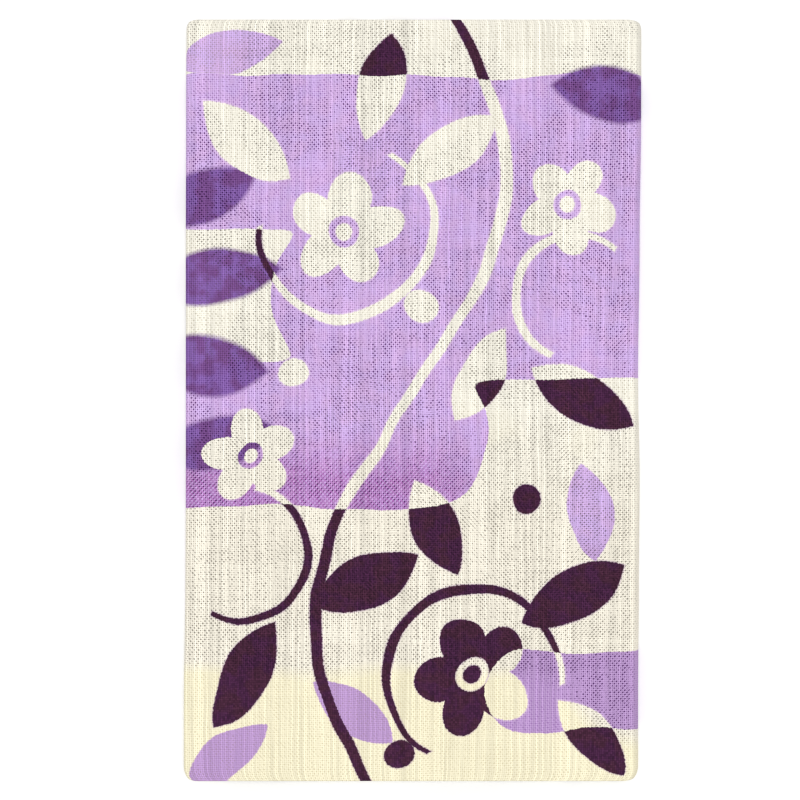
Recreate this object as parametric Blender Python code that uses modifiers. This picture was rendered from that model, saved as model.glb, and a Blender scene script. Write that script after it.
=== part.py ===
"""A plain cotton hand towel, folded flat into an upright oblong and lying on its back.

The cloth is one narrow strip, its two ends cut plain and its long sides woven shut. It is
folded to and fro along its length into a band of five plies, and the band is then folded
in three across: the left third goes under the middle one, and the right third under both.
The solid is that band as one thick sheet, on the section that its three layers make.

Units are metres. +X is to the right and +Y is up the front of the towel, +Z is up, and the
origin is under the middle of the towel, on the surface that it lies on.
"""

import math

import bmesh
import bpy
from mathutils import Vector

# The flat cloth's width, and the front of the folded towel
CLOTH_WIDTH = 0.340
FOLDED_WIDTH = 0.1160
FOLDED_HEIGHT = 0.1924

# The band that the lengthwise folds make, and the slit between its layers
PLIES = 5
PLY_THICKNESS = 0.00036
LAYER_SLIT = 0.0004

BAND_THICKNESS = PLIES * PLY_THICKNESS
LAYER_PITCH = BAND_THICKNESS + LAYER_SLIT

# Heights of the three layers' middle lines, lowest first
UNDER_Z = BAND_THICKNESS / 2
INSIDE_Z = UNDER_Z + LAYER_PITCH
FRONT_Z = INSIDE_Z + LAYER_PITCH

# The left turn is tight; the right one is wide, and clears the inside layer's free edge
EDGE_CLEARANCE = 0.0016
LEFT_TURN_X = -FOLDED_WIDTH / 2 + LAYER_PITCH / 2 + BAND_THICKNESS / 2
RIGHT_TURN_X = FOLDED_WIDTH / 2 - LAYER_PITCH - BAND_THICKNESS / 2
INSIDE_EDGE_X = RIGHT_TURN_X - EDGE_CLEARANCE

# How far each side of the outline stands in from the full width, going up the towel
OUTLINE_COLUMNS = ("up", "left_in", "right_in")
OUTLINE_ROWS = (
    (0.000, 0.0000, 0.0008),
    (0.020, 0.0000, 0.0008),
    (0.050, 0.0004, 0.0006),
    (0.076, 0.0005, 0.0004),
    (0.102, 0.0005, 0.0008),
    (0.135, 0.0005, 0.0004),
    (0.170, 0.0006, 0.0000),
    (FOLDED_HEIGHT, 0.0007, 0.0000),
)

# The corners are rounded in the outline, and the two ends are thinner at their lips
CORNER_RADIUS = 0.0032
LIP_DEPTH = 0.0009
LIP_THINNEST = 0.45

# The layers stand a little further apart in the middle than at the folds
MIDDLE_RISE = 0.0006

# Steps along each flat layer, round each turn, up the towel, and round each corner
FLAT_STEPS = 14
UNDER_STEPS = 4
TURN_STEPS = 8
UPWARD_STEPS = 18
CORNER_STEPS = 4

SHARP_ANGLE = math.radians(50)

TOWEL_COLOUR = (0.63, 0.47, 0.74, 1.0)


def flat_run(x_from, x_to, z, steps):
    """Points on one flat layer, evenly spaced, both ends included."""
    return [(x_from + (x_to - x_from) * i / steps, z) for i in range(steps + 1)]


def half_turn(x_centre, z_from, z_to, side):
    """Points on a half circle from one layer to another, less its two ends.

    The circle's centre is midway between the layers; side is -1 for a turn that bulges to
    the left and +1 for one that bulges to the right.
    """
    centre_z = (z_from + z_to) / 2
    radius = abs(z_to - z_from) / 2
    way = math.copysign(1.0, z_from - z_to)
    points = []
    for i in range(1, TURN_STEPS):
        angle = math.pi * i / TURN_STEPS
        x = x_centre + side * radius * math.sin(angle)
        points.append((x, centre_z + way * radius * math.cos(angle)))
    return points


def fold_section():
    """The band's middle line from its free edge inside to its free edge underneath.

    The under layer takes what the cloth's width leaves over after the inside layer, the
    front and the two turns, so the whole line is as long as the cloth is wide.
    """
    inside_length = INSIDE_EDGE_X - LEFT_TURN_X
    front_length = RIGHT_TURN_X - LEFT_TURN_X
    turns_length = math.pi * (LAYER_PITCH / 2 + LAYER_PITCH)
    under_length = CLOTH_WIDTH - inside_length - front_length - turns_length
    under_edge_x = RIGHT_TURN_X - under_length
    return (
        flat_run(INSIDE_EDGE_X, LEFT_TURN_X, INSIDE_Z, FLAT_STEPS)
        + half_turn(LEFT_TURN_X, INSIDE_Z, FRONT_Z, -1)
        + flat_run(LEFT_TURN_X, RIGHT_TURN_X, FRONT_Z, FLAT_STEPS)
        + half_turn(RIGHT_TURN_X, FRONT_Z, UNDER_Z, +1)
        + flat_run(RIGHT_TURN_X, under_edge_x, UNDER_Z, UNDER_STEPS)
    )


def upward_stations():
    """Distances up from the bottom edge: close together at the lips and the corners."""
    low_end = [LIP_DEPTH]
    for i in range(CORNER_STEPS + 1):
        low_end.append(CORNER_RADIUS * (1 - math.cos(math.pi / 2 * i / CORNER_STEPS)))
    low_end.sort()
    high_end = [FOLDED_HEIGHT - up for up in reversed(low_end)]
    span = high_end[0] - low_end[-1]
    middle = [low_end[-1] + span * i / UPWARD_STEPS for i in range(1, UPWARD_STEPS)]
    return low_end + middle + high_end


def outline_insets(up):
    """Left and right insets at a height, eased smoothly from one row to the next."""
    rows = [dict(zip(OUTLINE_COLUMNS, row)) for row in OUTLINE_ROWS]
    for low, high in zip(rows, rows[1:]):
        if up <= high["up"]:
            share = (up - low["up"]) / (high["up"] - low["up"])
            share = share * share * (3 - 2 * share)
            left_in = low["left_in"] + (high["left_in"] - low["left_in"]) * share
            right_in = low["right_in"] + (high["right_in"] - low["right_in"]) * share
            return left_in, right_in
    return rows[-1]["left_in"], rows[-1]["right_in"]


def corner_inset(up):
    """How far a rounded corner draws the side in, from a quarter circle at each end."""
    from_end = min(up, FOLDED_HEIGHT - up)
    if from_end >= CORNER_RADIUS:
        return 0.0
    reach = CORNER_RADIUS - from_end
    return CORNER_RADIUS - math.sqrt(max(0.0, CORNER_RADIUS ** 2 - reach ** 2))


def settled_point(point):
    """Where a point of the straight-sided towel lies once it has settled.

    Each cross-section is squeezed between the outline's two sides at its height, and is
    lifted by a rise that is full at the top and middle and nothing at the folds and below.
    """
    up = point.y + FOLDED_HEIGHT / 2
    left_in, right_in = outline_insets(up)
    left = -FOLDED_WIDTH / 2 + left_in + corner_inset(up)
    right = FOLDED_WIDTH / 2 - right_in - corner_inset(up)
    across = (point.x + FOLDED_WIDTH / 2) / FOLDED_WIDTH
    along = up / FOLDED_HEIGHT
    layer_share = max(0.0, (point.z - UNDER_Z) / (FRONT_Z - UNDER_Z))
    rise = MIDDLE_RISE * layer_share * math.sin(math.pi * across) ** 2 * math.sin(math.pi * along)
    return Vector((left + (right - left) * across, point.y, point.z + rise))


def lip_fullness(up):
    """The band's thickness at a height, as a share of its full one."""
    from_end = min(up, FOLDED_HEIGHT - up)
    share = min(1.0, from_end / LIP_DEPTH)
    return LIP_THINNEST + (1 - LIP_THINNEST) * math.sin(math.pi / 2 * share)


def towel_material():
    """Soft lilac cotton, with no shine."""
    material = bpy.data.materials.new("dyed_cotton")
    material.use_nodes = True
    shader = material.node_tree.nodes["Principled BSDF"]
    shader.inputs["Base Color"].default_value = TOWEL_COLOUR
    shader.inputs["Roughness"].default_value = 0.92
    shader.inputs["Metallic"].default_value = 0.0
    material.diffuse_color = TOWEL_COLOUR
    return material


def straight_towel(collection):
    """A flat grid, one column for each section point, folded straight and thickened."""
    section = fold_section()
    stations = upward_stations()
    shape = bmesh.new()
    bmesh.ops.create_grid(
        shape,
        x_segments=len(section) - 1,
        y_segments=len(stations) - 1,
        size=1.0,
    )
    mesh = bpy.data.meshes.new("straight_towel")
    straight = bpy.data.objects.new("straight_towel", mesh)
    collection.objects.link(straight)

    fullness = {}
    for vert in shape.verts:
        column = round((vert.co.x + 1) / 2 * (len(section) - 1))
        row = round((vert.co.y + 1) / 2 * (len(stations) - 1))
        x, z = section[column]
        up = stations[row]
        vert.co = (x, up - FOLDED_HEIGHT / 2, z)
        fullness[vert.index] = lip_fullness(up)
    shape.to_mesh(mesh)
    shape.free()

    group = straight.vertex_groups.new(name="fullness")
    for index, share in fullness.items():
        group.add([index], share, "REPLACE")
    thickness = straight.modifiers.new("band_thickness", "SOLIDIFY")
    thickness.thickness = BAND_THICKNESS
    thickness.offset = 0.0
    thickness.use_even_offset = True
    thickness.vertex_group = group.name
    return straight


def build_towel(collection):
    """The straight towel made a mesh and settled into its uneven outline."""
    straight = straight_towel(collection)
    depsgraph = bpy.context.evaluated_depsgraph_get()
    mesh = bpy.data.meshes.new_from_object(straight.evaluated_get(depsgraph))
    mesh.name = "folded_towel"
    bpy.data.objects.remove(straight)

    for vert in mesh.vertices:
        vert.co = settled_point(vert.co)
    mesh.shade_smooth()
    mesh.set_sharp_from_angle(angle=SHARP_ANGLE)
    mesh.materials.append(towel_material())
    towel = bpy.data.objects.new("folded_towel", mesh)
    collection.objects.link(towel)


def main():
    for leftover in list(bpy.data.objects):
        bpy.data.objects.remove(leftover)
    collection = bpy.data.collections.new("hand_towel")
    bpy.context.scene.collection.children.link(collection)
    build_towel(collection)


main()
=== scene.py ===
import math

import bpy
import numpy as np
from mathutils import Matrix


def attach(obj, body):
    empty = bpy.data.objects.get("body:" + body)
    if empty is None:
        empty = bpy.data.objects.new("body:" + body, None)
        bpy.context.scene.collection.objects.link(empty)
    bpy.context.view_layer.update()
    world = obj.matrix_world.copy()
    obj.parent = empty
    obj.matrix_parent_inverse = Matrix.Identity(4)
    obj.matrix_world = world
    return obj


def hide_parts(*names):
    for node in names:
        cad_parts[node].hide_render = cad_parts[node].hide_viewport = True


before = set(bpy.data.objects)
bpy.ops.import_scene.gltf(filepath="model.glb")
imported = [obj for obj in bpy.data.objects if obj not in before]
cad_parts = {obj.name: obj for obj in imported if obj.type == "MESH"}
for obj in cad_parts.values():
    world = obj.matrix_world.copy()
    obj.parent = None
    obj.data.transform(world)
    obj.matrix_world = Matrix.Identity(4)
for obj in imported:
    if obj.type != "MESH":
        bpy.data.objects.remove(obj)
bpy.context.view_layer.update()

# The towel: one strip of thin plain-woven cotton, its ends cut plain and its long sides
# woven shut. It is folded to and fro along its length into five plies, and those are folded
# in three across: the left third under the middle one, and the right third under both.
CLOTH_WIDTH = 0.340
CLOTH_LENGTH = 0.900
CLOTH_THICKNESS = 0.00028
FOLDED_WIDTH = 0.1160
FOLDED_HEIGHT = 0.1924

# The three layers of five plies each, as in the solid that the cloth replaces
BAND_THICKNESS = 0.0018
LAYER_PITCH = 0.0022
UNDER_Z = BAND_THICKNESS / 2
FRONT_Z = UNDER_Z + 2 * LAYER_PITCH
LEFT_RADIUS = LAYER_PITCH / 2
RIGHT_RADIUS = LAYER_PITCH
LEFT_TURN_X = -FOLDED_WIDTH / 2 + LEFT_RADIUS + BAND_THICKNESS / 2
RIGHT_TURN_X = FOLDED_WIDTH / 2 - RIGHT_RADIUS - BAND_THICKNESS / 2
FRONT_MIDDLE_X = (LEFT_TURN_X + RIGHT_TURN_X) / 2

# Distances along the layers' middle line from the middle of the front: where each turn
# starts and ends, and the cloth's two woven edges. The left one stops short of the right turn
EDGE_CLEARANCE = 0.0016
HALF_FRONT = (RIGHT_TURN_X - LEFT_TURN_X) / 2
LEFT_TURN_END = HALF_FRONT + math.pi * LEFT_RADIUS
RIGHT_TURN_END = HALF_FRONT + math.pi * RIGHT_RADIUS
LEFT_EDGE = LEFT_TURN_END + 2 * HALF_FRONT - EDGE_CLEARANCE
RIGHT_EDGE = CLOTH_WIDTH - LEFT_EDGE

# Heights of the five plies above the middle of their layer
PLY_PITCH = (BAND_THICKNESS - CLOTH_THICKNESS) / 4
FRONT_PLY = 2 * PLY_PITCH
SECOND_PLY = PLY_PITCH
MIDDLE_PLY = 0.0
FOURTH_PLY = -PLY_PITCH
BACK_PLY = -2 * PLY_PITCH

# The turn inside at the top and the one behind at the bottom stand in by this much, and of
# the cloth's two ends the bottom one is longer than the top one by twice this much
INNER_TURN_IN = 0.0005
BACK_TURN_IN = 0.00022
ENDS_APART = 0.006


def across_stations():
    """Distances along the layers' middle line, 0 in the middle of the front.

    Even steps on each flat layer, and closer ones round the two turns.
    """
    parts = (
        np.linspace(-LEFT_EDGE, -LEFT_TURN_END, 23)[:-1],
        np.linspace(-LEFT_TURN_END, -HALF_FRONT, 9)[:-1],
        np.linspace(-HALF_FRONT, HALF_FRONT, 53)[:-1],
        np.linspace(HALF_FRONT, RIGHT_TURN_END, 13)[:-1],
        np.linspace(RIGHT_TURN_END, RIGHT_EDGE, 23),
    )
    return np.concatenate(parts)


def turn_stations(end_y, side, height_from, height_to, steps):
    """A half circle from one ply to the next, at the towel's top (side 1) or bottom (-1).

    Rows are the place up the towel, the height, and the printed face's direction in those
    two: the way out of the circle, or into it where the turn goes the other way round.
    """
    radius = abs(height_to - height_from) / 2
    start = math.copysign(1.0, height_from - height_to)
    angle = np.linspace(0, math.pi, steps + 1)[1:-1]
    out_up = side * np.sin(angle)
    out_height = start * np.cos(angle)
    y = end_y + radius * out_up
    height = (height_from + height_to) / 2 + radius * out_height
    return np.stack((y, height, side * start * out_up, side * start * out_height))


def run_stations(y_from, y_to, height, steps):
    """A straight run up or down the towel; the printed face is up where the run goes up.

    Steps are a tenth as long at its ends as even ones, from a share less 0.9 of a sine wave.
    """
    share = np.linspace(0, 1, steps + 1)
    share = share - 0.9 * np.sin(2 * math.pi * share) / (2 * math.pi)
    y = y_from + (y_to - y_from) * share
    level = np.zeros_like(y)
    return np.stack((y, level + height, level, level + math.copysign(1.0, y_to - y_from)))


def lengthwise_stations():
    """The cloth's middle line from its bottom end to its top end, through the five plies.

    Straight runs up and down the towel with a half turn between each two; a fifth row gives
    the length of cloth used so far.
    """
    bottom = -FOLDED_HEIGHT / 2 + PLY_PITCH / 2 + CLOTH_THICKNESS / 2
    top = FOLDED_HEIGHT / 2 - 2 * PLY_PITCH - CLOTH_THICKNESS / 2
    inner_top = top - INNER_TURN_IN
    back_bottom = bottom + BACK_TURN_IN
    whole_runs = (inner_top - bottom) + (top - bottom) + (top - back_bottom)
    turns = math.pi * PLY_PITCH * (0.5 + 0.5 + 2 + 0.5)
    left_over = CLOTH_LENGTH - whole_runs - turns
    pieces = (
        run_stations(inner_top - left_over / 2 - ENDS_APART, inner_top, MIDDLE_PLY, 34),
        turn_stations(inner_top, 1, MIDDLE_PLY, SECOND_PLY, 6),
        run_stations(inner_top, bottom, SECOND_PLY, 38),
        turn_stations(bottom, -1, SECOND_PLY, FRONT_PLY, 8),
        run_stations(bottom, top, FRONT_PLY, 84),
        turn_stations(top, 1, FRONT_PLY, BACK_PLY, 12),
        run_stations(top, back_bottom, BACK_PLY, 38),
        turn_stations(back_bottom, -1, BACK_PLY, FOURTH_PLY, 8),
        run_stations(back_bottom, back_bottom + left_over / 2 - ENDS_APART, FOURTH_PLY, 32),
    )
    rows = np.concatenate(pieces, axis=1)
    steps = np.hypot(np.diff(rows[0]), np.diff(rows[1]))
    used = np.concatenate(((0.0,), np.cumsum(steps)))
    return np.vstack((rows, used * CLOTH_LENGTH / used[-1]))


def turned_angles(line):
    """The angle turned so far round the left turn and round the right one."""
    left = np.clip((-line - HALF_FRONT) / LEFT_RADIUS, 0, math.pi)
    right = np.clip((line - HALF_FRONT) / RIGHT_RADIUS, 0, math.pi)
    return left, right


def section_place(line, height):
    """Sideways place and height of the folded section.

    Flat on the front; past each turn's start it goes round a half circle, whose radius grows
    with the height out of the layer, and then straight back under the front.
    """
    left, right = turned_angles(line)
    left_radius = LEFT_RADIUS + height
    right_radius = RIGHT_RADIUS + height
    x = FRONT_MIDDLE_X + np.clip(line, -HALF_FRONT, HALF_FRONT)
    x = x - left_radius * np.sin(left) + np.maximum(-line - LEFT_TURN_END, 0)
    x = x + right_radius * np.sin(right) - np.maximum(line - RIGHT_TURN_END, 0)
    z = FRONT_Z + height + left_radius * (np.cos(left) - 1) + right_radius * (np.cos(right) - 1)
    return x, z


def flat_place(line, height):
    """Place across the flat cloth: the distance along the middle line, plus or less the
    height times the angle turned so far."""
    left, right = turned_angles(line)
    return line + height * (right - left)


# How far the left and the right side stand in from the full width, going up the towel
OUTLINE_ROWS = np.array((
    (0.000, 0.0000, 0.0008),
    (0.020, 0.0000, 0.0008),
    (0.050, 0.0004, 0.0006),
    (0.076, 0.0005, 0.0004),
    (0.102, 0.0005, 0.0008),
    (0.135, 0.0005, 0.0004),
    (0.170, 0.0006, 0.0000),
    (FOLDED_HEIGHT, 0.0007, 0.0000),
))
MIDDLE_RISE = 0.0006

# Corners are rounded over this much of the towel's height and this much of its width
BOTTOM_CORNER = (0.0036, 0.0021)
TOP_CORNER = (0.0024, 0.0015)

# Soft troughs and ridges of the front: two ends, how wide, and how high (troughs negative).
# They die out this close to the towel's two ends
CREASE_FADE = 0.004
CREASES = (
    (-0.062, 0.004, 0.062, 0.010, 0.0150, -0.00020),
    (0.010, 0.060, 0.060, 0.086, 0.0050, 0.00016),
    (0.020, 0.052, 0.062, 0.071, 0.0040, -0.00013),
    (-0.060, 0.070, -0.020, 0.092, 0.0060, 0.00012),
    (-0.058, -0.030, -0.030, -0.088, 0.0070, -0.00014),
    (0.004, -0.096, 0.016, -0.040, 0.0060, 0.00014),
    (0.034, -0.096, 0.040, -0.020, 0.0050, -0.00012),
    (-0.034, -0.060, -0.026, 0.050, 0.0085, 0.00012),
    (0.050, -0.040, 0.053, 0.030, 0.0030, 0.00012),
)


def outline_inset(up, column):
    """How far a side is drawn in at a height up the towel: eased between the outline's rows,
    plus a quarter of an ellipse at each corner."""
    ups = OUTLINE_ROWS[:, 0]
    upper = np.clip(np.searchsorted(ups, up, side="right"), 1, len(ups) - 1)
    share = np.clip((up - ups[upper - 1]) / (ups[upper] - ups[upper - 1]), 0, 1)
    share = share * share * (3 - 2 * share)
    low = OUTLINE_ROWS[upper - 1, column]
    high = OUTLINE_ROWS[upper, column]
    inset = low + (high - low) * share
    for from_end, (tall, wide) in ((up, BOTTOM_CORNER), (FOLDED_HEIGHT - up, TOP_CORNER)):
        reach = np.clip(1 - from_end / tall, 0, 1)
        inset = inset + wide * (1 - np.sqrt(1 - reach**2))
    return inset


def crease_rise(x, y):
    """Sum of the creases, each a bell-shaped ridge along the line between its two ends."""
    rise = np.zeros_like(x)
    for x_from, y_from, x_to, y_to, width, height in CREASES:
        span = np.array((x_to - x_from, y_to - y_from))
        share = ((x - x_from) * span[0] + (y - y_from) * span[1]) / (span @ span)
        share = np.clip(share, 0, 1)
        away = (x - x_from - share * span[0]) ** 2 + (y - y_from - share * span[1]) ** 2
        rise = rise + height * np.exp(-away / width**2)
    return rise


def settle(x, y, z):
    """Where the straight-sided towel's points lie once it has settled.

    Each cross-section is squeezed between the outline's sides, and the upper layers rise in
    the middle and follow the creases, fully on the front and not at all underneath.
    """
    up = np.clip(y + FOLDED_HEIGHT / 2, 0, FOLDED_HEIGHT)
    left = -FOLDED_WIDTH / 2 + outline_inset(up, 1)
    right = FOLDED_WIDTH / 2 - outline_inset(up, 2)
    across = (x + FOLDED_WIDTH / 2) / FOLDED_WIDTH
    layer_share = np.maximum((z - UNDER_Z) / (FRONT_Z - UNDER_Z), 0)
    rise = MIDDLE_RISE * np.sin(math.pi * across) ** 2 * np.sin(math.pi * up / FOLDED_HEIGHT)
    from_end = np.clip(np.minimum(up, FOLDED_HEIGHT - up) / CREASE_FADE, 0, 1)
    rise = rise + crease_rise(x, y) * from_end
    return np.stack((left + (right - left) * across, y, z + rise * layer_share), axis=-1)


rows = lengthwise_stations()
row_y, row_height, row_out_up, row_out_height, row_used = rows[:, :, None]
line, height = np.meshgrid(across_stations(), rows[1])
row_count, column_count = line.shape

# All plies end at the woven edges of the flat cloth, so each ply's last stretch is drawn out
# or in, which steps the edges of the plies as they lie in the layer
LAST_STRETCH = 0.030
for side, edge in ((-1, LEFT_EDGE), (1, RIGHT_EDGE)):
    missing = edge - side * flat_place(side * edge + 0 * row_height, row_height)
    line = line + side * missing * np.clip((side * line - edge) / LAST_STRETCH + 1, 0, 1)

# The hidden layers do not lie quite square under the front: they slip up or down the towel
ASKEW = 0.00022
ASKEW_AFTER = 0.020
askew = ASKEW * np.clip((np.abs(line) - HALF_FRONT) / ASKEW_AFTER, 0, 1) * np.sign(line)

both_faces = []
for half in (CLOTH_THICKNESS / 2, -CLOTH_THICKNESS / 2):
    x, z = section_place(line, height + half * row_out_height)
    both_faces.append(settle(x, row_y + half * row_out_up + askew, z))
points = np.stack(both_faces)
numbers = np.arange(2 * row_count * column_count).reshape(2, row_count, column_count)
flat_across = flat_place(line, height)
flat_up = np.broadcast_to(row_used, line.shape)


def quads(grid):
    """The four corners of each cell of a grid, in the order that its rows and columns turn."""
    return np.stack((grid[:-1, :-1], grid[:-1, 1:], grid[1:, 1:], grid[1:, :-1]), axis=-1)


def laid_out(cells, ups, acrosses, box):
    """A block of cells with its corners in a box of the atlas, spaced as on the cloth."""
    left, low, right, high = box
    u = left + (right - left) * (acrosses - acrosses[0]) / (acrosses[-1] - acrosses[0])
    v = low + (high - low) * (ups - ups[0]) / (ups[-1] - ups[0])
    u, v = np.meshgrid(u, v)
    corners = np.stack((quads(u), quads(v)), axis=-1)
    return quads(cells).reshape(-1, 4), corners.reshape(-1, 4, 2)


# The atlas gives most of its square to the front, and then to the back, which is the right
# third; the plies inside share what is left
low_row = int(np.argmin(rows[0] + (rows[1] < 0)))
high_row = int(np.argmax(rows[0]))
steps_across = across_stations()
left_column = int(np.argmin(np.abs(steps_across + (HALF_FRONT + LEFT_TURN_END) / 2)))
right_column = int(np.argmin(np.abs(steps_across - (HALF_FRONT + RIGHT_TURN_END) / 2)))
used = rows[4]
outer, inner = numbers
rim_steps = np.array((0.0, 1.0))
left_rim = np.stack((inner[:, 0], outer[:, 0]), axis=1)
right_rim = np.stack((outer[:, -1], inner[:, -1]), axis=1)
bottom_rim = np.stack((inner[0], outer[0]))
top_rim = np.stack((outer[-1], inner[-1]))
front_rows = slice(low_row, high_row + 1)
front_columns = slice(left_column, right_column + 1)
blocks = (
    laid_out(
        outer[front_rows, front_columns],
        used[front_rows],
        steps_across[front_columns],
        (0.004, 0.004, 0.560, 0.936),
    ),
    laid_out(
        outer[front_rows, right_column:],
        used[front_rows],
        steps_across[right_column:],
        (0.566, 0.004, 0.996, 0.740),
    ),
    laid_out(
        outer[front_rows, : left_column + 1],
        used[front_rows],
        steps_across[: left_column + 1],
        (0.566, 0.746, 0.650, 0.936),
    ),
    laid_out(
        outer[: low_row + 1],
        used[: low_row + 1],
        steps_across,
        (0.656, 0.746, 0.760, 0.936),
    ),
    laid_out(outer[high_row:], used[high_row:], steps_across, (0.766, 0.746, 0.880, 0.936)),
    laid_out(inner[:, ::-1], used, steps_across[::-1], (0.886, 0.746, 0.996, 0.936)),
    laid_out(left_rim, used, rim_steps, (0.004, 0.942, 0.496, 0.954)),
    laid_out(right_rim, used, rim_steps, (0.504, 0.942, 0.996, 0.954)),
    laid_out(bottom_rim, rim_steps, steps_across, (0.004, 0.960, 0.496, 0.972)),
    laid_out(top_rim, rim_steps, steps_across, (0.504, 0.960, 0.996, 0.972)),
)
corners = np.concatenate([cells for cells, place in blocks])
atlas = np.concatenate([place for cells, place in blocks])
flat_places = np.stack((flat_across, flat_up), axis=-1).reshape(-1, 2)
on_cloth = flat_places[corners % (row_count * column_count)]

cloth_mesh = bpy.data.meshes.new("folded_cotton")
cloth_mesh.from_pydata(points.reshape(-1, 3).tolist(), [], corners.tolist())
for map_name, places in (("cloth", on_cloth), ("OFBake", atlas)):
    layer = cloth_mesh.uv_layers.new(name=map_name)
    layer.data.foreach_set("uv", places.astype(np.float32).ravel())
SHARP_ANGLE = math.radians(50)
cloth_mesh.shade_smooth()
cloth_mesh.set_sharp_from_angle(angle=SHARP_ANGLE)
towel = bpy.data.objects.new("folded_cotton", cloth_mesh)
bpy.context.scene.collection.objects.link(towel)


# The weave: single cotton threads, one over and one under, about 19 to the centimetre, with
# small round openings between them. Warp threads run up the towel, and are less even.
WARP_PITCH = 0.527
WEFT_PITCH = 0.558


class Wire:
    """One output of a shader node, which adds and links the nodes that it is reckoned with."""

    def __init__(self, tree, socket):
        self.tree = tree
        self.socket = socket

    def node(self, kind, settings, inputs, output=0):
        """Any node: its settings first, then its sockets' values or links."""
        made = self.tree.nodes.new(kind)
        for name, value in settings.items():
            setattr(made, name, value)
        for place, value in inputs.items():
            if isinstance(value, Wire):
                self.tree.links.new(value.socket, made.inputs[place])
            else:
                made.inputs[place].default_value = value
        return Wire(self.tree, made.outputs[output])

    def reckon(self, operation, *values, output=0):
        """A Math node, or a Vector Math node where one of the values is a vector."""
        settings = {"operation": operation}
        wires = [value for value in values if isinstance(value, Wire)]
        if all(wire.socket.type == "VALUE" for wire in wires):
            return self.node("ShaderNodeMath", settings, dict(enumerate(values)))
        spread = [(value,) * 3 if isinstance(value, (int, float)) else value for value in values]
        return self.node("ShaderNodeVectorMath", settings, dict(enumerate(spread)), output)

    def __add__(self, other):
        return self.reckon("ADD", self, other)

    def __radd__(self, other):
        return self.reckon("ADD", other, self)

    def __sub__(self, other):
        return self.reckon("SUBTRACT", self, other)

    def __rsub__(self, other):
        return self.reckon("SUBTRACT", other, self)

    def __mul__(self, other):
        return self.reckon("MULTIPLY", self, other)

    def __rmul__(self, other):
        return self.reckon("MULTIPLY", other, self)

    def __truediv__(self, other):
        return self.reckon("DIVIDE", self, other)

    def __abs__(self):
        return self.reckon("ABSOLUTE", self)

    def least(self, other):
        return self.reckon("MINIMUM", self, other)

    def most(self, other):
        return self.reckon("MAXIMUM", self, other)

    def rounded(self):
        return self.reckon("ROUND", self)

    def floor(self):
        return self.reckon("FLOOR", self)

    def odd(self):
        """1 where a whole number is odd, and 0 where it is even."""
        return self.reckon("FLOORED_MODULO", self, 2.0)

    def sine(self):
        return self.reckon("SINE", self)

    def cosine(self):
        return self.reckon("COSINE", self)

    def length(self):
        return self.reckon("LENGTH", self, output=1)

    def bearing(self):
        """The angle of a place round the origin."""
        return self.reckon("ARCTAN2", self.part(1), self.part(0))

    def part(self, axis):
        return self.node("ShaderNodeSeparateXYZ", {}, {0: self}, axis)

    def joined(self, other):
        return self.node("ShaderNodeCombineXYZ", {}, {0: self, 1: other})

    def noise(self, scale, detail=0.0, output=0):
        """Soft noise about 0.5, in as many spots to a millimetre as the scale says."""
        values = {"Vector": self, "Scale": scale, "Detail": detail}
        return self.node("ShaderNodeTexNoise", {"noise_dimensions": "2D"}, values, output)

    def chance(self):
        """A number from 0 to 1 for each whole number, with nothing in common between any two."""
        return self.node("ShaderNodeTexWhiteNoise", {"noise_dimensions": "1D"}, {"W": self})

    def share(self, none, full):
        """0 to 1 as the value goes from none to full, and no further."""
        slope = 1 / (full - none)
        settings = {"operation": "MULTIPLY_ADD", "use_clamp": True}
        return self.node("ShaderNodeMath", settings, {0: self, 1: slope, 2: -none * slope})

    def colour(self, without, with_it):
        """A colour mixed from two, with this wire as the share of the second."""
        values = {0: self, 6: without, 7: with_it}
        return self.node("ShaderNodeMix", {"data_type": "RGBA"}, values, 2)


cotton = bpy.data.materials.new("printed_cotton")
cotton.use_nodes = True
cotton_tree = cotton.node_tree
cotton_shader = cotton_tree.nodes["Principled BSDF"]
cloth_map = cotton_tree.nodes.new("ShaderNodeUVMap")
cloth_map.uv_map = "cloth"

# Millimetres across the flat cloth from the middle of the front, and up from its bottom end
spot = Wire(cotton_tree, cloth_map.outputs[0]) * 1000
across = spot.part(0)
up = spot.part(1)

# Threads wander a little from their even places, the weft more than the warp
WARP_WANDER = 0.9
WEFT_WANDER = 1.4
wander = spot.noise(0.12, 1.5, output=1)
warp_count = across / WARP_PITCH + wander.part(0) * WARP_WANDER
weft_count = up / WEFT_PITCH + wander.part(1) * WEFT_WANDER

# Each opening lies between two warp and two weft threads, and is known by its two numbers, as
# a crossing is by its two threads'. One weft thread counts as this many warp threads where the
# two numbers make one
WEFT_STEP = 613.0
warp_gap = warp_count.floor()
weft_gap = weft_count.floor()
warp_number = warp_count.rounded()
weft_number = weft_count.rounded()
from_warp = warp_count - warp_number
from_weft = weft_count - weft_number
own_slack = (warp_gap + weft_gap * WEFT_STEP).chance() - 0.5
grain = (warp_number + weft_number * WEFT_STEP).chance() - 0.5

# Some warp threads stand well apart for their whole length, or for a few centimetres of it,
# and the cloth is closer in some patches and in some bars of weft than in others. Threads
# beside each other are this far apart in the noise, too far to be alike
THREAD_STEP = 7.31
weft_bars = (across * 0.02).joined(up * 0.22).noise(1.0, 1.0) - 0.5
slack = spot.noise(0.13, 2.0) - 0.5 + weft_bars * 0.8
warp_slack = (warp_gap * THREAD_STEP).joined(up * 0.035).noise(1.0, 2.0) - 0.5
weft_slack = (across * 0.05).joined(weft_gap * THREAD_STEP).noise(1.0, 1.0) - 0.5

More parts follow.
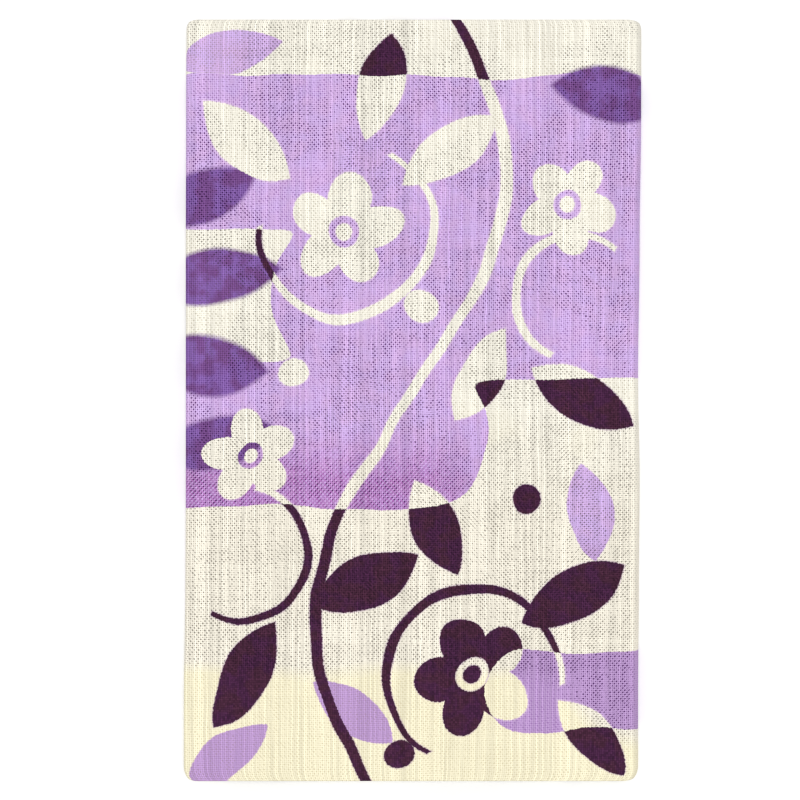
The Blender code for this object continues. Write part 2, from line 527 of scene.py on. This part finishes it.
# Half widths of an opening, as shares of the threads' pitch
MEAN_WARP_GAP = 0.306
MEAN_WEFT_GAP = 0.350
LEAST_GAP = 0.05
MOST_WARP_GAP = 0.47
MOST_WEFT_GAP = 0.45
half_warp_gap = slack * 0.19 + warp_slack + own_slack * 0.28 + MEAN_WARP_GAP
half_weft_gap = slack * 0.19 + weft_slack * 0.30 + own_slack * 0.20 + MEAN_WEFT_GAP
half_warp_gap = half_warp_gap.most(LEAST_GAP).least(MOST_WARP_GAP)
half_weft_gap = half_weft_gap.most(LEAST_GAP).least(MOST_WEFT_GAP)

# The cloth is close along its woven edges, round the side folds and up to the top fold
CLOSE_SHUTS = 0.8
HALF_CLOTH = CLOTH_WIDTH * 500
CLOTH_MIDDLE = (RIGHT_EDGE - LEFT_EDGE) * 500
TOP_FOLD_UP = 1000 * float(used[high_row])
woven_edge = abs(across - CLOTH_MIDDLE).share(HALF_CLOTH - 4.0, HALF_CLOTH - 2.5)
side_fold = abs(across).share(55.5, 58.5) * abs(across).share(66.0, 62.0)
top_fold = up.share(TOP_FOLD_UP - 2.0, TOP_FOLD_UP)
drawn_close = woven_edge.most(side_fold).most(top_fold)

# Openings are round: 1 inside an oval with those half widths, and 0 a little outside it.
# Each leans with the threads beside it, and every other one is nearly shut by their slant
NEARLY_SHUT = 0.26
lean = (spot.noise(0.040, 0.5) - 0.5) * 1.5 + across.share(30.0, 56.0) * 0.35
off_middle = weft_count - weft_gap - 0.5
out_warp = (warp_count - warp_gap - 0.5 - off_middle * lean) / half_warp_gap
out_weft = off_middle / half_weft_gap
openness = NEARLY_SHUT + (1 - NEARLY_SHUT) * (warp_gap + weft_gap).odd()
opening = out_warp.joined(out_weft).length().share(1.22, 0.74) * openness
opening = opening * (1 - drawn_close * CLOSE_SHUTS)

# Threads are round: their height falls with the squares of the ways out from both middle
# lines of a crossing, and most across the thread that is on top
WARP_FALL = 1.2
WEFT_FALL = 0.8
TOP_FALL = 1.8
warp_on_top = (warp_number + weft_number).odd()
warp_round = from_warp * from_warp
weft_round = from_weft * from_weft
top_round = weft_round + (warp_round - weft_round) * warp_on_top
thread_height = 1 - warp_round * WARP_FALL - weft_round * WEFT_FALL - top_round * TOP_FALL
relief = thread_height * (1 - opening)

# No two threads are of quite the same tone, and a warp thread's tone drifts along it
warp_drift = (warp_number * 5.3).joined(up * 0.05 + 40).noise(1.0) * 0.6
warp_tone = warp_number.chance() * 0.7 + warp_drift
weft_tone = (weft_number * 1.7 + 900.0).chance() * (1 - warp_on_top) * 0.7
thread_tone = warp_tone * 1.20 + weft_tone * 0.45 + warp_on_top * 0.22 - 0.95


# The print: dyed through the cloth, so it is the same on both faces. Bars of mist in lilac,
# round at their ends, lie over the cream cloth, and a broad plum field crosses its lower
# half. Blossoms, leaves and curled stems are cream on the bars, and plum on the cream.
LIGHT_LEVEL = 1.14


def dye(red, green, blue):
    """A dye's colour for the shader, from how it looks in this light.

    The screen's curve is undone, and the light's level divided out.
    """
    shown = np.array((red, green, blue)) / 255
    linear = np.where(shown > 0.04045, ((shown + 0.055) / 1.055) ** 2.4, shown / 12.92)
    return (*(linear / LIGHT_LEVEL).tolist(), 1.0)


WHITE_CREAM = dye(255, 251, 238)
CREAM_ON_DARK = dye(254, 248, 233)
CREAM_ON_PALE = dye(255, 248, 219)
LILAC = dye(218, 189, 240)
PINKER_LILAC = dye(222, 189, 236)
DEEPER_LILAC = dye(200, 167, 216)
PLUM = dye(80, 43, 65)
VIOLET_PLUM = dye(79, 40, 74)
MID_PURPLE = dye(145, 108, 180)
MAUVE = dye(131, 88, 150)
MAGENTA = dye(174, 97, 178)
PALE_PINK = dye(246, 228, 242)
PLUM_FRINGE = dye(184, 148, 186)

# Bars of lilac and of plum: left, right, low and high sides in millimetres on the cloth, and
# how softly one runs into the next
BARS_BLEND = 8.0
LILAC_BARS = (
    (-300, 300, 499, 537),
    (-36, 300, 461, 503),
    (-300, 20, 428, 465),
    (20, 300, 372, 392),
    (-300, -20, 700, 740),
    (-90, 300, 665, 704),
    (-30, 300, 800, 840),
    (-300, 50, 60, 100),
)
PLUM_BARS = (
    (-300, 75, 262, 331),
    (34, 300, 290, 350),
    (-85, 300, 200, 268),
    (-300, 95, 160, 204),
)

# Motifs stand in cells this wide and high, every other column half a cell lower. Leaves are
# x, y, degrees, length and width; blossoms x, y, degrees and radius; curls x, y, degrees,
# radius, half width and how far round they go; buds x, y and radius.
CELL_WIDTH = 170.0
CELL_HEIGHT = 225.0
CELL_MIDDLE_UP = 456.2
STEM_SWING = 24.0
STEM_HALF_WIDTH = 1.4
LEAVES = (
    (-42.0, 64.0, 140, 30.0, 12.5),
    (-8.0, 78.0, 75, 28.0, 11.5),
    (9.8, 62.6, 35, 30.0, 12.5),
    (44.0, 0.0, -30, 30.0, 12.0),
    (18.0, 5.0, 60, 26.0, 11.0),
    (42.0, -50.0, 30, 30.0, 12.5),
    (6.0, -33.0, 115, 26.0, 11.0),
    (-11.2, -46.2, -155, 30.0, 12.5),
    (-42.0, -70.0, -120, 30.0, 12.0),
    (46.0, -86.0, -50, 26.0, 11.0),
)
LILAC_LEAVES = (
    (46.0, -29.0, 100, 26.0, 11.5),
    (-47.0, -90.5, 40, 26.0, 11.0),
    (-14.0, -80.0, -35, 24.0, 10.5),
    (-47.0, 86.5, 14, 28.0, 11.5),
)
SOFT_LEAVES = (
    (-54.0, 51.0, 20, 31.0, 13.5),
    (-50.0, 30.0, 8, 34.0, 15.0),
    (-52.0, 8.0, -6, 32.0, 14.5),
    (-50.0, -11.0, 10, 33.0, 14.0),
    (50.0, 76.0, 172, 30.0, 13.5),
)
BLOSSOMS = (
    (-16.5, 42.0, 10, 15.0),
    (16.5, -70.5, 40, 15.0),
    (40.0, 48.0, -15, 12.5),
    (-41.0, -15.0, 25, 12.5),
)
CURLS = (
    (-16.5, 42.0, -62, 22.5, 1.3, -12.0),
    (16.5, -70.5, 118, 22.5, 1.3, -12.0),
    (42.0, 25.0, 150, 16.0, 1.1, -2.0),
    (-43.0, -40.0, -20, 16.5, 1.1, -2.0),
)
BUDS = ((3.0, 22.0, 4.0), (-30.0, 6.0, 3.6), (30.0, -26.0, 3.8), (-2.0, -90.0, 3.8))


def bars_distance(place, bars):
    """Distance to the nearest of some bars with round ends, less than 0 inside.

    From a bar's middle line it is the length of what lies beyond that line's ends, less
    half the bar's height; bars that meet run into each other with a small soft corner.
    """
    nearest = None
    for left, right, low, high in bars:
        radius = (high - low) / 2
        middle = ((left + right) / 2, (low + high) / 2, 0.0)
        beyond = abs(place - middle) - ((right - left) / 2 - radius, 0.0, 0.0)
        beyond = beyond.most((0.0, -1000.0, 0.0))
        distance = beyond.length() - radius
        if nearest is None:
            nearest = distance
        else:
            blend = {0: nearest, 1: distance, 2: BARS_BLEND}
            nearest = nearest.node("ShaderNodeMath", {"operation": "SMOOTH_MIN"}, blend)
    return nearest


def turned_to(place, x, y, degrees):
    """The place seen from a motif's middle, with the motif's long way as x."""
    values = {0: place, 1: (x, y, 0.0), 2: (0.0, 0.0, math.radians(degrees))}
    return place.node("ShaderNodeMapping", {"vector_type": "TEXTURE"}, values)


def leaf_distance(place, leaf):
    """Distance to a pointed leaf: the overlap of two equal circles, one to each side."""
    x, y, degrees, length, width = leaf
    bow = (length**2 + width**2) / (4 * width)
    seen = abs(turned_to(place, x, y, degrees))
    return (seen + (0.0, bow - width / 2, 0.0)).length() - bow


def blossom_distance(place, blossom):
    """Distance to a blossom: an edge that swells five times round it, and a ring left bare
    round its eye."""
    x, y, degrees, radius = blossom
    seen = turned_to(place, x, y, degrees)
    out = seen.length()
    swell = abs((seen.bearing() * 2.5).cosine())
    petals = out - (0.60 + 0.40 * swell) * radius
    return petals.most(radius * 0.28 - out).least(out - radius * 0.15)


def curl_distance(place, curl):
    """Distance to a curled stem: a ring cut off by a straight line, thinner towards it."""
    x, y, degrees, radius, half_width, cut = curl
    seen = turned_to(place, x, y, degrees)
    along_curl = seen.part(0)
    half = half_width * 0.65 + along_curl * (half_width * 0.35 / radius)
    return (abs(seen.length() - radius) - half).most(cut - along_curl)


def nearest_of(place, rule, motifs):
    """The least of the distances to several motifs of a kind."""
    nearest = None
    for motif in motifs:
        distance = rule(place, motif)
        nearest = distance if nearest is None else nearest.least(distance)
    return nearest


def bud_distance(place, bud):
    """Distance to a round bud."""
    x, y, radius = bud
    return (place - (x, y, 0.0)).length() - radius


# Outlines are drawn by hand, and are ragged where they step from thread to thread
HAND_SWAY = (4.0, 4.0, 0.0)
RAGGED_STEP = (0.36, 0.36, 0.0)
hand_drawn = (spot.noise(0.040, 1.0, output=1) - 0.5) * HAND_SWAY
ragged = (spot.noise(1.9, 0.0, output=1) - 0.5) * RAGGED_STEP
drawn = spot + hand_drawn + ragged
drawn_across = drawn.part(0)
drawn_up = drawn.part(1)

# Place in the motifs' cell
column = (drawn_across / CELL_WIDTH).rounded()
cell_x = drawn_across - column * CELL_WIDTH
shifted = drawn_up - CELL_MIDDLE_UP + column.odd() * (CELL_HEIGHT / 2)
cell_y = shifted - (shifted / CELL_HEIGHT).rounded() * CELL_HEIGHT
cell = cell_x.joined(cell_y)

# The stem winds up the middle of each column of cells in a sine wave
stem_middle = (cell_y * (2 * math.pi / CELL_HEIGHT)).sine() * STEM_SWING
stem = abs(cell_x - stem_middle) * 0.9 - STEM_HALF_WIDTH
motifs = stem.least(nearest_of(cell, bud_distance, BUDS))
motifs = motifs.least(nearest_of(cell, curl_distance, CURLS))
motifs = motifs.least(nearest_of(cell, leaf_distance, LEAVES))
motifs = motifs.least(nearest_of(cell, blossom_distance, BLOSSOMS))
lilac_leaves = nearest_of(cell, leaf_distance, LILAC_LEAVES)
soft_leaves = nearest_of(cell, leaf_distance, SOFT_LEAVES)
lilac_bars = bars_distance(drawn, LILAC_BARS)
plum_bars = bars_distance(drawn, PLUM_BARS)

PRINT_EDGE = 0.10
in_lilac = lilac_bars.share(PRINT_EDGE, -PRINT_EDGE)
in_plum = plum_bars.share(PRINT_EDGE, -PRINT_EDGE)
in_field = in_lilac.most(in_plum)
in_motif = motifs.share(PRINT_EDGE, -PRINT_EDGE)
in_soft = soft_leaves.share(0.55, -0.75) * (1 - in_plum)
in_lilac_leaf = lilac_leaves.share(0.15, -0.15) * (1 - in_field)
beside_motif = motifs.share(0.55, 0.10) * in_lilac
beside_plum = motifs.share(0.38, 0.05) * (1 - in_field)

# Stronger dye has run to the low side of one bar, and most into the warp where it is on top
towards_low = drawn_up.share(448.0, 435.0) * drawn_across.share(22.0, 4.0)
run_low = towards_low * (warp_on_top * 0.40 + grain * 0.26 + 0.29) * in_lilac

# Dye takes unevenly, in patches of a few millimetres and of a few centimetres
patches = spot.noise(0.22, 2.0)
wide_patches = spot.noise(0.035, 1.0)

# The ply behind shows through the openings: its plum field with softly seen motifs, and
# cream alone below that. It is the same cloth, turned up at the lowest fold
FOLD_UP = 1000 * float(used[low_row])
behind = spot * (1.0, -1.0, 0.0) + (0.0, 2 * FOLD_UP, 0.0) + hand_drawn * 1.4
behind_motifs = spot.noise(0.050, 0.5).share(0.54, 0.62) * up.share(436.0, 450.0) * 0.70
behind_dark = bars_distance(behind, PLUM_BARS).share(2.2, -1.8) * (1 - behind_motifs)

# The ground's colours change over the cloth, and the motifs lie over them
low_cream = behind_dark.colour(CREAM_ON_PALE, CREAM_ON_DARK)
cream = up.share(425.0, 455.0).colour(low_cream, WHITE_CREAM)
high_lilac = patches.share(0.35, 0.65).colour(LILAC, PINKER_LILAC)
lilac = up.share(412.0, 422.0).colour(DEEPER_LILAC, high_lilac)
mid_purple = patches.share(0.40, 0.60).colour(MAUVE, MID_PURPLE)
plum = patches.share(0.42, 0.58).colour(PLUM, VIOLET_PLUM)
ground = in_lilac.colour(cream, lilac)
ground = run_low.colour(ground, MAGENTA)
ground = (beside_motif * 0.45).colour(ground, PALE_PINK)
ground = (beside_plum * 0.50).colour(ground, PLUM_FRINGE)
ground = in_lilac_leaf.colour(ground, lilac)
ground = in_soft.colour(ground, mid_purple)
ground = in_plum.colour(ground, plum)
on_top = in_field.colour(plum, cream)
printed = in_motif.colour(ground, on_top)

# Painted highlight and shade: threads are painted paler on their tops and deeper in colour, as
# in shade, where they go under.
# Dark dye hides most of that, and takes in specks instead
dark_dyed = in_plum + in_motif - in_motif * (in_plum + in_field)
# Painted highlight and shade from the thread's height, with the threads' own tones, the dye's
# patches and specks
tone_and_painted_shade = 0.875 + thread_height * 0.13 + thread_tone * 0.24 + (wide_patches - 0.5) * 0.05
tone_and_painted_shade = tone_and_painted_shade + grain * (0.05 + dark_dyed * 0.45) - dark_dyed * 0.10
# Painted shade: the colour is made deeper where a thread goes under
painted_shade_depth = 1 + (1 - thread_height) * (0.4 - dark_dyed * 0.24)
threads_with_painted_shade = printed.node("ShaderNodeGamma", {}, {0: printed, 1: painted_shade_depth}) * tone_and_painted_shade

# An opening is the threads' own colour in shade: deep over the dark ply behind, and light
# over the pale one, on bare cloth and on dyed
BARE_OVER_DARK = (0.13, 0.12, 0.11, 1.0)
DYED_OVER_DARK = (0.11, 0.020, 0.15, 1.0)
BARE_OVER_PALE = (0.68, 0.65, 0.58, 1.0)
DYED_OVER_PALE = (0.60, 0.48, 0.66, 1.0)
dyed = abs(in_field - in_motif)
deep_shade = dyed.colour(BARE_OVER_DARK, DYED_OVER_DARK)
light_shade = dyed.colour(BARE_OVER_PALE, DYED_OVER_PALE)
shade = behind_dark.colour(light_shade, deep_shade)
open_here = opening * (1 - dark_dyed * 0.4) * (0.78 + dyed * 0.13)
weave_colour = open_here.colour(threads_with_painted_shade, printed * shade)

bump_values = {"Strength": 0.30, "Distance": 0.00010, "Height": relief}
bump = relief.node("ShaderNodeBump", {}, bump_values)
roughness = 0.88 + opening * 0.08
cotton_tree.links.new(weave_colour.socket, cotton_shader.inputs["Base Color"])
cotton_tree.links.new(bump.socket, cotton_shader.inputs["Normal"])
cotton_tree.links.new(roughness.socket, cotton_shader.inputs["Roughness"])
cotton_shader.inputs["Metallic"].default_value = 0.0
cotton_shader.inputs["Specular IOR Level"].default_value = 0.12
cotton_shader.inputs["Sheen Weight"].default_value = 0.02
cotton_shader.inputs["Sheen Roughness"].default_value = 0.5
cloth_mesh.materials.append(cotton)

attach(towel, "root")
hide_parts("folded_towel")


# The floor: a plain white table top, wide enough to fill every view of the towel.
FLOOR_REACH = 2.0
FLOOR_BELOW = 0.0002
floor_mesh = bpy.data.meshes.new("floor")
floor_corners = [
    (-FLOOR_REACH, -FLOOR_REACH, -FLOOR_BELOW),
    (FLOOR_REACH, -FLOOR_REACH, -FLOOR_BELOW),
    (FLOOR_REACH, FLOOR_REACH, -FLOOR_BELOW),
    (-FLOOR_REACH, FLOOR_REACH, -FLOOR_BELOW),
]
floor_mesh.from_pydata(floor_corners, [], [(0, 1, 2, 3)])
floor = bpy.data.objects.new("floor", floor_mesh)
bpy.context.scene.collection.objects.link(floor)
floor_paint = bpy.data.materials.new("white_table")
floor_paint.use_nodes = True
floor_shader = floor_paint.node_tree.nodes["Principled BSDF"]
floor_shader.inputs["Base Color"].default_value = (0.92, 0.92, 0.92, 1.0)
floor_shader.inputs["Roughness"].default_value = 0.9
floor_shader.inputs["Specular IOR Level"].default_value = 0.0
floor_mesh.materials.append(floor_paint)


# The light and camera: one large soft lamp almost straight above, with even light from all
# round, and a long lens that looks straight down with the towel's top at the frame's top.
LAMP_PLACE = (-0.02, 0.04, 1.50)
LAMP_SIZE = 0.60
LAMP_POWER = 13.0
ROUND_LIGHT = 0.62
lamp_data = bpy.data.lights.new("soft_lamp", "AREA")
lamp_data.shape = "DISK"
lamp_data.size = LAMP_SIZE
lamp_data.energy = LAMP_POWER
lamp = bpy.data.objects.new("soft_lamp", lamp_data)
lamp.location = LAMP_PLACE
tilt_forward = -math.atan2(LAMP_PLACE[1], LAMP_PLACE[2])
tilt_sideways = math.atan2(LAMP_PLACE[0], LAMP_PLACE[2])
lamp.rotation_euler = (tilt_forward, tilt_sideways, 0.0)
bpy.context.scene.collection.objects.link(lamp)

world = bpy.data.worlds.new("studio")
world.use_nodes = True
world.node_tree.nodes["Background"].inputs["Color"].default_value = (1.0, 1.0, 1.0, 1.0)
world.node_tree.nodes["Background"].inputs["Strength"].default_value = ROUND_LIGHT
bpy.context.scene.world = world
bpy.context.scene.view_settings.view_transform = "Standard"
FILTER_PIXELS = 1.3
bpy.context.scene.cycles.filter_width = FILTER_PIXELS

# The frame's middle is this far from the towel's, and the picture's scale is its front's
LENS = 100.0
SENSOR = 36.0
PIXELS_PER_METRE = 3953.0
FRAME_PIXELS = 800
FRAME_MIDDLE = (-0.00322, 0.00004)
SCALE_Z = 0.005
camera_data = bpy.data.cameras.new("camera")
camera_data.lens = LENS
camera_data.sensor_width = SENSOR
camera = bpy.data.objects.new("camera", camera_data)
camera_height = FRAME_PIXELS / PIXELS_PER_METRE * LENS / SENSOR
camera.location = (*FRAME_MIDDLE, SCALE_Z + camera_height)
bpy.context.scene.collection.objects.link(camera)
bpy.context.scene.camera = camera
